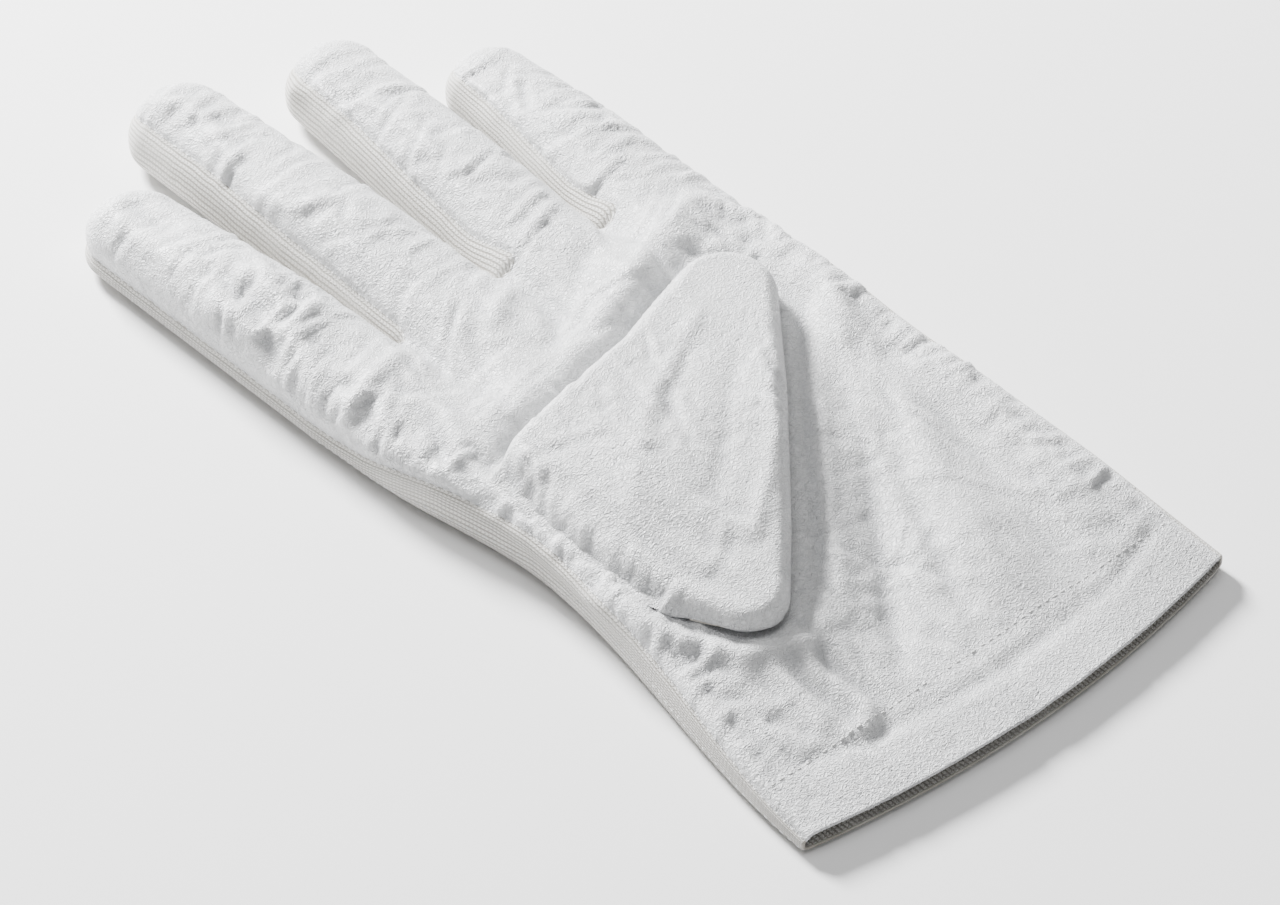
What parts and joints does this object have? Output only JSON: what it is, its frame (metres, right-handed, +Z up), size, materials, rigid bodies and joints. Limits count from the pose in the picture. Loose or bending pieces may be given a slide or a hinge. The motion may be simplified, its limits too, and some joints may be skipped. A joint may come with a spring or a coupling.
{
  "type": "cold handling glove",
  "caption": "Left gauntlet glove lying palm up: leather palm, finger fronts and folded thumb, knitted back and finger sides, fleece liner, open cuff.",
  "frame": {"origin": "on the surface that the glove lies on, under the middle of its outline", "axes": "+X across the hand to the little finger, +Y to the fingertips, +Z up out of the palm; the glove lies palm up on its knitted back"},
  "size_m": [0.134, 0.302, 0.0283],
  "materials": {
    "white_leather": "fine-grained white full-grain leather, satin",
    "knit_back": "off-white ribbed knit, matte",
    "knit_sides": "off-white ribbed knit, matte",
    "fleece": "brushed fleece pile, matte",
    "elastic": "woven elastic tape, matte"
  },
  "bodies": {
    "hand": {"palm_leather": "white_leather", "hand_back_knit": "knit_back", "hand_liner": "fleece", "wrist_elastic": "elastic", "thumb_gusset": "white_leather", "hand_index_strip": "knit_sides", "hand_little_strip": "knit_sides", "index_middle_gusset": "knit_sides", "middle_ring_gusset": "knit_sides", "ring_little_gusset": "knit_sides"},
    "cuff": {"cuff_leather": "white_leather", "cuff_back_knit": "knit_back", "cuff_liner": "fleece", "hem_leather": "white_leather", "hem_knit": "knit_back", "cuff_index_strip": "knit_sides", "cuff_little_strip": "knit_sides"},
    "thumb": {"thumb_front": "white_leather", "thumb_back": "white_leather", "thumb_rim": "white_leather", "thumb_liner": "fleece"},
    "index_base": {"index_base_leather": "white_leather", "index_base_knit": "knit_back", "index_base_sides": "knit_sides", "index_base_liner": "fleece"},
    "index_tip": {"index_tip_leather": "white_leather", "index_tip_knit": "knit_back", "index_tip_sides": "knit_sides", "index_tip_liner": "fleece"},
    "middle_base": {"middle_base_leather": "white_leather", "middle_base_knit": "knit_back", "middle_base_sides": "knit_sides", "middle_base_liner": "fleece"},
    "middle_tip": {"middle_tip_leather": "white_leather", "middle_tip_knit": "knit_back", "middle_tip_sides": "knit_sides", "middle_tip_liner": "fleece"},
    "ring_base": {"ring_base_leather": "white_leather", "ring_base_knit": "knit_back", "ring_base_sides": "knit_sides", "ring_base_liner": "fleece"},
    "ring_tip": {"ring_tip_leather": "white_leather", "ring_tip_knit": "knit_back", "ring_tip_sides": "knit_sides", "ring_tip_liner": "fleece"},
    "little_base": {"little_base_leather": "white_leather", "little_base_knit": "knit_back", "little_base_sides": "knit_sides", "little_base_liner": "fleece"},
    "little_tip": {"little_tip_leather": "white_leather", "little_tip_knit": "knit_back", "little_tip_sides": "knit_sides", "little_tip_liner": "fleece"}
  },
  "joints": [
    {"name": "cuff_fold", "type": "hinge", "parent": "hand", "child": "cuff", "pos_m": [0, -0.104, 0.016], "axis": [-1, 0, 0], "range_deg": [0, 60]},
    {"name": "thumb_swing", "type": "hinge", "parent": "hand", "child": "thumb", "pos_m": [-0.044, -0.055, 0.0283], "axis": [0, -1, 0], "range_deg": [0, 150]},
    {"name": "index_curl", "type": "hinge", "parent": "hand", "child": "index_base", "pos_m": [-0.04763, 0.04298, 0.019], "axis": [0.9986, 0.0523, 0], "range_deg": [0, 65]},
    {"name": "index_tip_curl", "type": "hinge", "parent": "index_base", "child": "index_tip", "pos_m": [-0.04961, 0.08075, 0.019], "axis": [0.9986, 0.0523, 0], "range_deg": [0, 65]},
    {"name": "middle_curl", "type": "hinge", "parent": "hand", "child": "middle_base", "pos_m": [-0.01477, 0.046, 0.019], "axis": [0.9997, 0.0227, 0], "range_deg": [0, 65]},
    {"name": "middle_tip_curl", "type": "hinge", "parent": "middle_base", "child": "middle_tip", "pos_m": [-0.01591, 0.09599, 0.019], "axis": [0.9997, 0.0227, 0], "range_deg": [0, 65]},
    {"name": "ring_curl", "type": "hinge", "parent": "hand", "child": "ring_base", "pos_m": [0.0184, 0.04497, 0.019], "axis": [0.9972, -0.075, 0], "range_deg": [0, 65]},
    {"name": "ring_tip_curl", "type": "hinge", "parent": "ring_base", "child": "ring_tip", "pos_m": [0.02171, 0.08902, 0.019], "axis": [0.9972, -0.075, 0], "range_deg": [0, 65]},
    {"name": "little_curl", "type": "hinge", "parent": "hand", "child": "little_base", "pos_m": [0.05084, 0.04297, 0.019], "axis": [0.9976, -0.0698, 0], "range_deg": [0, 65]},
    {"name": "little_tip_curl", "type": "hinge", "parent": "little_base", "child": "little_tip", "pos_m": [0.05296, 0.0733, 0.019], "axis": [0.9976, -0.0698, 0], "range_deg": [0, 65]}
  ],
  "couplings": [
    {"joint": "index_tip_curl", "follows": "index_curl", "ratio": 1},
    {"joint": "middle_tip_curl", "follows": "middle_curl", "ratio": 1},
    {"joint": "ring_tip_curl", "follows": "ring_curl", "ratio": 1},
    {"joint": "little_tip_curl", "follows": "little_curl", "ratio": 1}
  ]
}
